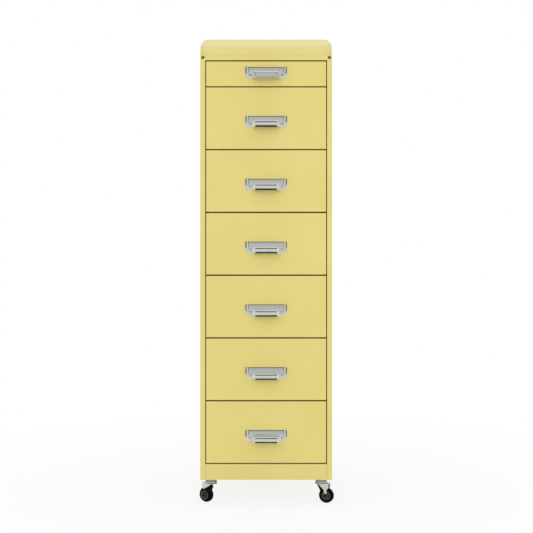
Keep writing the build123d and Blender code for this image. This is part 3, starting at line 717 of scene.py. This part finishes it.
def hood_outline(inset, fall):
    """Plan of the hood at one inset, from its left root on the plate round its front to its right root.
    The front moves back by the inset, the cheeks move in by a share of it, and the front is wider than
    the back by a flare that grows with the fall. The front's straight run has points spaced evenly, as
    many in every plan."""
    back = HOOD_BACK - CHEEK_SHARE * inset
    tip = back + HOOD_FLARE * fall
    reach = HOOD_REACH - inset
    corner = max(HOOD_CORNER - inset, HOOD_LEAST_CORNER)
    points = [(-back - HOOD_FLANGE, HOOD_FOOT), (-back, HOOD_FOOT), (-tip, reach), (tip, reach),
              (back, HOOD_FOOT), (back + HOOD_FLANGE, HOOD_FOOT)]
    path = rounded_path(points, [HOOD_FLANGE_RADIUS, corner, corner, HOOD_FLANGE_RADIUS], 8)
    middle = len(path) // 2
    shares = np.linspace(0.0, 1.0, HOOD_FRONT_POINTS + 2)[1:-1, None]
    front = path[middle - 1] + shares * (path[middle] - path[middle - 1])
    return np.vstack([path[:middle], front, path[middle:]])


def pull_hood(crease, lower_hood_shade):
    """Hood of a pull: plans stacked along the side profile of a bent sheet, with a round brow above and a
    curl below. Heights near the top fall towards the front, which slopes the brow. On its front one
    share of painted dark reflection lies in the crease under the brow, where it fades off with the square
    of the height from the crease, and in the curl, where it grows with depth. A second share, of painted
    shade, lies over all of the hood below the brow."""
    brow = -HOOD_TOP - BROW_FALL
    path = [(HOOD_ROOT, -HOOD_TOP), (BROW_RUN, -HOOD_TOP), (0, brow), (0, -HOOD_LOW),
            (CURL_REACH, -HOOD_LOW), (CURL_REACH, CURL_LIP - HOOD_LOW), (SHEET, CURL_LIP + 0.3 - HOOD_LOW),
            (SHEET, brow - 0.4), (BROW_RUN + 0.6, -HOOD_TOP - SHEET), (HOOD_ROOT, -HOOD_TOP - SHEET)]
    radii = [0.8, 1.2, CURL_RADIUS, 0.3, 0.4, CURL_RADIUS - SHEET, 0.6, 0.4]
    profile = finer(rounded_path(path, radii, 8), step=0.5)
    fall = (-HOOD_TOP - profile[:, 1]) / (HOOD_LOW - HOOD_TOP)
    plans = np.stack([hood_outline(inset, part) for inset, part in zip(profile[:, 0], fall)])
    slope = HOOD_SLOPE * plans[..., 1] / HOOD_REACH * (1.0 - fall[:, None])
    height = profile[:, 1][:, None] - slope
    points = np.stack([plans[..., 0], plans[..., 1], height], axis=-1)
    hood = grid(points, loop_columns=False, first_cap=True, last_cap=True)
    depth = -profile[:, 1] - HOOD_TOP
    under_brow = np.exp(-(((depth - BROW_CREASE) / CREASE_SPREAD) ** 2))
    in_curl = np.clip((depth - CURL_START) / (HOOD_LOW - HOOD_TOP - CURL_START) * CURL_GAIN, 0.0, 1.0)
    front = np.clip((HOOD_BACK - CHEEK_MARGIN - np.abs(plans[..., 0])) / CHEEK_FADE, 0.0, 1.0)
    front = front * (plans[..., 1] > ROOT_MARGIN)
    # Painted dark reflections under the brow and in the curl, and painted shade over the lower hood
    hood["dull"] = crease * np.maximum(under_brow, in_curl)[:, None] * front
    hood["dull"] += lower_hood_shade * (depth > LOWER_HOOD_SHADE_START)[:, None]
    return hood


def make_pull(number):
    """Chromed pull: a bevelled back plate, a hood, a card guide at each end and two screws. A guide is a
    folded outline drawn out straight, with a painted dark reflection at its fold and a little at its lip."""
    node = f"drawer_{number}_pull"
    low, high = box_corners(node)
    face_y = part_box(f"drawer_{number}_front")[0][1]
    top = (0.0, face_y, high[2])
    half = (high[0] - low[0]) / 2 / MM
    corners = [(-half, -PULL_HEIGHT), (half, -PULL_HEIGHT), (half, 0), (-half, 0)]
    radii = [PULL_CORNER, PULL_CORNER, PULL_TOP_CORNER, PULL_TOP_CORNER]
    back = plate(rounded_path(corners, radii, closed=True), 0.0, SHEET, PLATE_EDGE, bevel=PLATE_BEVEL)
    # Painted dark reflection along the plate's bevelled top edge
    back["dull"][-2:] = PLATE_TOP_PAINTED_DARK * (back["points"][-2:, :, 1] > -PLATE_TOP_REACH)
    hood = pull_hood(**(TOP_PULL_PAINTED_DARK if number == 1 else LOWER_PULLS_PAINTED_DARK))
    surfaces = [placed(back, top, *FACING_FRONT), placed(hood, top, (1, 0, 0), (0, -1, 0), UP)]
    for side in (-1, 1):
        guide = [(half, 0.2), (half, GUIDE_DEPTH), (half - GUIDE_LIP, GUIDE_DEPTH)]
        guide = finer(folded_outline(guide, bend=0.5), step=0.4)
        run = drawn_out(guide, -GUIDE_HEIGHT, 0.0)
        inward = half - guide[:, 0]
        fold, lip = inward < FOLD_REACH, inward > GUIDE_LIP - LIP_REACH
        # Painted dark reflection at the guide's fold, and a faint one at its lip
        run["dull"][:] = np.maximum(FOLD_PAINTED_DARK * fold, LIP_PAINTED_DARK * lip)
        surfaces.append(placed(run, top, (side, 0, 0), (0, -1, 0), UP))
    make_piece(f"pull_{number}", surfaces, pull_chrome, f"drawer_{number}", [node])

    screw_node = f"drawer_{number}_pull_screws"
    radius, places = screw_places(screw_node)
    screws = []
    for x, z in places:
        for part in (screw_head(radius, PULL_HEAD), screw_shank(*PULL_SHANK)):
            screws.append(placed(part, (x, face_y - SHEET * MM, z), *FACING_FRONT))
    make_piece(f"pull_screws_{number}", screws, screw_steel, f"drawer_{number}", [screw_node])


# Casters


def caster_axes(place):
    """Foot of a caster's kingpin on the floor, and its directions along the trail and across it."""
    joints = {joint["name"]: joint for joint in frame["joints"]}
    across = np.array(joints[f"{place}_wheel_roll"]["axis"], float)
    along = np.array([-across[1], across[0], 0.0])
    foot = np.array(joints[f"{place}_swivel_turn"]["pos_m"], float) * np.array([1, 1, 0])
    return foot, along, across


def axle_middle(foot, along, trail=TRAIL):
    """Point at the axle's height, a trail behind the kingpin's foot."""
    return foot + (along * trail + np.array([0, 0, WHEEL_RADIUS])) * MM


def make_fork(place):
    """Pressed fork: a crown plate, whose outline is most of a disc with a squared tail, and two leg plates
    that taper to the axle."""
    foot, along, across = caster_axes(place)
    turn = math.asin(LEG_OUTER / CROWN_RADIUS)
    arc = np.linspace(turn, 2 * math.pi - turn, 40)
    disc = CROWN_RADIUS * np.stack([np.cos(arc), np.sin(arc)], axis=1)
    tail = rounded_path([disc[-1], (CROWN_TAIL, -LEG_OUTER), (CROWN_TAIL, LEG_OUTER), disc[0]], 1.5, 5)
    crown = plate(np.vstack([disc, tail[1:-1]]), CROWN_LOW, CROWN_TOP, 0.7)
    surfaces = [placed(crown, foot, along, across, UP)]
    neck, sole = WHEEL_RADIUS + LEG_NECK, WHEEL_RADIUS - LEG_FOOT
    corners = [(-LEG_LEAD, CROWN_LOW + LEG_WELD), (TRAIL - LEG_FOOT, neck), (TRAIL - LEG_FOOT, sole),
               (TRAIL + LEG_FOOT, sole), (TRAIL + LEG_FOOT / 2, neck),
               (CROWN_TAIL, WHEEL_RADIUS + LEG_TAIL), (CROWN_TAIL, CROWN_LOW + LEG_WELD)]
    leg = rounded_path(corners, [0.8, 3.0, 3.6, 3.6, 4.0, 3.0, 0.8], 7, closed=True)
    for low in (-LEG_OUTER, LEG_INNER):
        side = plate(leg, low, low + LEG_OUTER - LEG_INNER, 0.4)
        surfaces.append(placed(side, foot, along, UP, across))
    make_piece(f"{place}_fork_steel", surfaces, zinc_plate, f"{place}_swivel",
               [f"{place}_fork"])


def make_axle(place):
    """Axle between its two moulded caps. A cap is a shallow dome turned about the axle, with a round
    recess at its middle, and the near cap stands past the brake lever's arm where there is one."""
    foot, along, across = caster_axes(place)
    hub = axle_middle(foot, along)
    near = ARM_OUTER + CAP_CLEARANCE if place.startswith("front") else LEG_OUTER
    shaft = np.array([(0.0, LEG_OUTER), (AXLE_RADIUS, LEG_OUTER), (AXLE_RADIUS, -near), (0.0, -near)])
    shaft = placed(turned(shaft, 32), hub, along, UP, across)
    make_piece(f"{place}_axle_steel", [shaft], zinc_plate, f"{place}_swivel", [f"{place}_axle"])
    dome = [(2.9, 0.05), (2.9, 0.9), (3.3, 1.2), (3.9, 1.2), (CAP_END, 0.75), (CAP_END, 0.05)]
    dome = rounded_path(dome, [0.2, 0.3, 0.4, 0.4], 4)
    plug = rounded_path([(0.0, 0.4), (3.0, 0.5), (3.0, 0.05), (0.0, 0.05)], [0.1, 0.1], 3)
    parts = (("caps", dome, hub_plastic, True), ("plugs", plug, brake_plastic, False))
    for part, profile, finish, ring in parts:
        surfaces = []
        for base, side in ((LEG_OUTER, 1), (-near, -1)):
            cap = turned(np.c_[profile[:, 0], base + side * profile[:, 1]], 48, loop_rows=ring)
            surfaces.append(placed(cap, hub, along, UP, across))
        make_piece(f"{place}_axle_{part}", surfaces, finish, f"{place}_swivel")


def make_wheel(place):
    """Rubber tyre on a moulded hub, both turned about the axle: the tyre's profile has round shoulders, the
    hub's runs from a boss over a dished web and a ridge to the rim, and back on its other side."""
    foot, along, across = caster_axes(place)
    hub = axle_middle(foot, along)
    half = WHEEL_WIDTH / 2
    body, axes = f"{place}_roller", (along, UP, across)
    corners = [(HUB_RADIUS - 0.6, -half + 0.8), (WHEEL_RADIUS, -half), (WHEEL_RADIUS, half),
               (HUB_RADIUS - 0.6, half - 0.8)]
    section = rounded_path(corners, TREAD_ROUND, 10)
    tyre = placed(turned(section, 96, loop_rows=True), hub, *axes)
    make_piece(f"{place}_tyre", [tyre], tyre_rubber, body, [f"{place}_wheel"])
    side = [(2.6, half + 0.3), (4.6, half + 0.3), (5.0, half - 1.4), (5.8, half - 1.6), (6.2, half - 0.1),
            (8.0, half - 0.1), (8.6, half - 1.5), (9.4, half - 1.6), (9.8, half - 0.8),
            (HUB_RADIUS, half - 0.8)]
    other = [(radius, -height) for radius, height in side[::-1]]
    wheel = placed(turned(rounded_path(side + other, 0.3, 3), 96, loop_rows=True), hub, *axes)
    make_piece(f"{place}_hub", [wheel], hub_plastic, body, smooth=50.0)


def make_brake(place):
    """Brake lever: its arm is a teardrop plate outside one leg, round two discs, with a turned ring on it
    beside the axle. Its pedal and the ribs on that are plates ahead of the leg: rectangles with round
    corners, laid along the leg's leading edge."""
    foot, along, across = caster_axes(place)
    tip = (-TIP_AHEAD, CROWN_LOW - TIP_DROP)
    teardrop = hull_of_discs((TRAIL, WHEEL_RADIUS), BOSS_RADIUS, tip, TIP_RADIUS)
    arm = plate(teardrop, -ARM_OUTER, -ARM_INNER, 0.6)
    surfaces = [placed(arm, foot, along, UP, across)]
    lead = np.array([-LEG_LEAD, CROWN_LOW])
    neck = np.array([TRAIL - LEG_FOOT, WHEEL_RADIUS + LEG_NECK])
    run = (neck - lead) / np.linalg.norm(neck - lead)
    out = np.array([run[1], -run[0]])
    start = lead + out * PEDAL_GAP + run * PEDAL_START
    bars = [(start, PEDAL_LENGTH, PEDAL_DEPTH, 0.0, 0.8, 4, 0.6)]
    for share in RIB_PLACES:
        bars.append((start + run * share + out * RIB_OUT, RIB_LENGTH, RIB_DEPTH, RIB_MARGIN, 0.2, 3, 0.2))
    for base, length, depth, margin, corner, steps, edge in bars:
        corners = [base, base + run * length, base + run * length + out * depth, base + out * depth]
        outline = rounded_path(corners, corner, steps, closed=True)
        bar = plate(outline, -ARM_OUTER + margin, PEDAL_WIDTH - ARM_OUTER - margin, edge)
        surfaces.append(placed(bar, foot, along, UP, across))
    make_piece(f"{place}_brake", surfaces, brake_plastic, f"{place}_brake",
               [f"{place}_brake_lever"])
    hub = axle_middle(foot, along, TRAIL - RING_AHEAD)
    ring = [(6.2, 0.3), (6.2, -0.2), (6.8, -0.7), (8.6, -0.7), (9.6, -0.2), (9.6, 0.3)]
    ring = rounded_path(ring, [0.2, 0.2, 0.3, 0.3], 3) - (0.0, ARM_OUTER)
    ring = placed(turned(ring, 64, loop_rows=True), hub, along, UP, across)
    make_piece(f"{place}_brake_ring", [ring], hub_plastic, f"{place}_brake")


def make_cups_and_pins():
    """Bearing cups under the floor pan, with a wide foot and a narrower neck, and the kingpins, with a head
    below the crown: two profiles turned about each kingpin's axis."""
    corners = [(CUP_BORE, CUP_LOW), (CUP_FOOT, CUP_LOW), (CUP_FOOT, CUP_LOW + 3.6), (CUP_NECK, CUP_LOW + 5.4),
               (CUP_NECK, CUP_TOP), (CUP_BORE, CUP_TOP)]
    cup = rounded_path(corners, [0.7, 0.9, 1.2, 0.3], 5)
    head_top = CROWN_LOW - PIN_HEAD_GAP
    head_low = head_top - PIN_HEAD_HEIGHT
    corners = [(0.0, head_low), (PIN_HEAD, head_low), (PIN_HEAD, head_top), (PIN_RADIUS, head_top),
               (PIN_RADIUS, CUP_TOP), (0.0, CUP_TOP)]
    pin = rounded_path(corners, [0.9, 0.2, 0.05, 0.1], 4)
    cups, pins = [], []
    for place in PLACES:
        foot = caster_axes(place)[0]
        cups.append(placed(turned(cup, 64, loop_rows=True), foot, *UPRIGHT))
        pins.append(placed(turned(pin, 32), foot, *UPRIGHT))
    make_piece("bearing_cups", cups, shaded_cup_zinc, "cabinet", ["caster_cups"])
    make_piece("kingpin_rivets", pins, shaded_cup_zinc, "cabinet", ["kingpins"])


make_cap()
make_header_screws()
for number in range(1, DRAWERS + 1):
    make_tray(number)
    make_front(number)
    make_pull(number)
for place in PLACES:
    make_fork(place)
    make_axle(place)
    make_wheel(place)
    if place.startswith("front"):
        make_brake(place)
make_cups_and_pins()


# Studio


def make_floor():
    """Pale floor. The camera sees white paper that keeps the chest's shadow: a share of plain white over
    the lit paper, growing to all of it with distance. What shines sees the lit paper near the chest."""
    mesh = bpy.data.meshes.new("studio_floor")
    corners = FLOOR_REACH * np.array([(-1, -1, 0), (1, -1, 0), (1, 1, 0), (-1, 1, 0)])
    mesh.from_pydata(corners, [], [(0, 1, 2, 3)])
    floor = bpy.data.objects.new("studio_floor", mesh)
    bpy.context.scene.collection.objects.link(floor)
    paper = bpy.data.materials.new("studio_paper")
    paper.use_nodes = True
    nodes, links = paper.node_tree.nodes, paper.node_tree.links
    shader = nodes["Principled BSDF"]
    shader.inputs["Base Color"].default_value = grey(PAPER_LEVEL)
    shader.inputs["Roughness"].default_value = PAPER_ROUGH
    place = nodes.new("ShaderNodeTexCoord")
    length = nodes.new("ShaderNodeVectorMath")
    length.operation = "LENGTH"
    links.new(place.outputs["Object"], length.inputs[0])
    far = add_range(nodes, links, length.outputs["Value"], start=NEAR_EDGE, end=FAR_EDGE)
    white = nodes.new("ShaderNodeEmission")
    ray = nodes.new("ShaderNodeLightPath")
    parts = nodes.new("ShaderNodeSeparateXYZ")
    links.new(place.outputs["Object"], parts.inputs["Vector"])
    ahead = add_range(nodes, links, parts.outputs["Y"], start=ROOM_SIDE[0], end=ROOM_SIDE[1])
    room_side = add_math(nodes, links, "MULTIPLY", ray.outputs["Is Glossy Ray"], ahead)
    links.new(add_mix(nodes, links, room_side, grey(1.0), grey(ROOM_FLOOR_LEVEL)), white.inputs["Color"])
    seen = add_math(nodes, links, "MAXIMUM", ray.outputs["Is Camera Ray"], ray.outputs["Is Transmission Ray"])
    white_share = add_math(nodes, links, "MULTIPLY", far, 1.0 - NEAR_WHITE)
    white_share = add_math(nodes, links, "ADD", white_share, NEAR_WHITE)
    seen = add_math(nodes, links, "MULTIPLY", seen, white_share)
    mirrored = add_math(nodes, links, "MULTIPLY", ray.outputs["Is Glossy Ray"], far)
    mix = nodes.new("ShaderNodeMixShader")
    links.new(add_math(nodes, links, "MAXIMUM", seen, mirrored), mix.inputs["Fac"])
    links.new(shader.outputs["BSDF"], mix.inputs[1])
    links.new(white.outputs["Emission"], mix.inputs[2])
    links.new(mix.outputs["Shader"], nodes["Material Output"].inputs["Surface"])
    mesh.materials.append(paper)


def make_world():
    """Studio room. Its light is even on all sides. What shines sees the white backdrop behind the chest
    and, in front of it, grey bands by height: a pale wall at eye level under a dim ceiling. The camera
    sees white all round."""
    world = bpy.data.worlds.new("studio")
    bpy.context.scene.world = world
    world.use_nodes = True
    nodes, links = world.node_tree.nodes, world.node_tree.links
    place = nodes.new("ShaderNodeTexCoord")
    parts = nodes.new("ShaderNodeSeparateXYZ")
    links.new(place.outputs["Generated"], parts.inputs["Vector"])
    height = add_range(nodes, links, parts.outputs["Z"], start=-1.0, end=1.0)
    ramp = nodes.new("ShaderNodeValToRGB")
    stops = ramp.color_ramp.elements
    for index, (position, level) in enumerate(ROOM_BANDS):
        stop = stops[index] if index < 2 else stops.new(position)
        stop.position = position
        stop.color = grey(level)
    links.new(height, ramp.inputs["Fac"])
    behind = add_range(nodes, links, parts.outputs["Y"], start=BACKDROP_SIDE[0], end=BACKDROP_SIDE[1])
    ray = nodes.new("ShaderNodeLightPath")
    shown = add_mix(nodes, links, behind, ramp.outputs["Color"], grey(1.0))
    even = add_mix(nodes, links, ray.outputs["Is Glossy Ray"], grey(EVEN_LEVEL), shown)
    seen = add_math(nodes, links, "MAXIMUM", ray.outputs["Is Camera Ray"], ray.outputs["Is Transmission Ray"])
    links.new(add_mix(nodes, links, seen, even, grey(1.0)), nodes["Background"].inputs["Color"])


def add_softbox(name, place, aim, size, power):
    """Square softbox that faces a point."""
    light = bpy.data.lights.new(name, "AREA")
    light.shape = "SQUARE"
    light.size = size
    light.energy = power
    softbox = bpy.data.objects.new(name, light)
    bpy.context.scene.collection.objects.link(softbox)
    softbox.location = place
    softbox.visible_glossy = False
    away = np.array(place, float) - np.array(aim, float)
    flat = math.hypot(away[0], away[1])
    softbox.rotation_euler = (math.atan2(flat, away[2]), 0.0, math.atan2(away[0], -away[1]))


def make_camera():
    """Level camera square to the front, with the photograph's scale at the plane of the fronts."""
    camera = bpy.data.cameras.new("camera")
    camera.sensor_width = SENSOR
    camera.lens = SENSOR * CAMERA_DISTANCE / (METRES_PER_PIXEL * PICTURE_PIXELS)
    holder = bpy.data.objects.new("camera", camera)
    bpy.context.scene.collection.objects.link(holder)
    front_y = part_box("drawer_1_front")[0][1]
    holder.location = (CAMERA_X, front_y - CAMERA_DISTANCE, CAMERA_HEIGHT)
    holder.rotation_euler = (math.pi / 2, 0.0, 0.0)
    bpy.context.scene.camera = holder


make_floor()
make_world()
make_camera()
add_softbox("key", (-1.4, -3.6, 2.3), aim=(0.0, -0.18, 0.5), size=2.4, power=17.0)
add_softbox("top", (0.0, -0.2, 3.2), aim=(0.0, -0.18, 0.5), size=2.0, power=9.0)
add_softbox("fill", (0.7, -2.4, 0.25), aim=(0.0, -0.18, 0.35), size=1.0, power=11.0)
bpy.context.scene.view_settings.view_transform = "Standard"
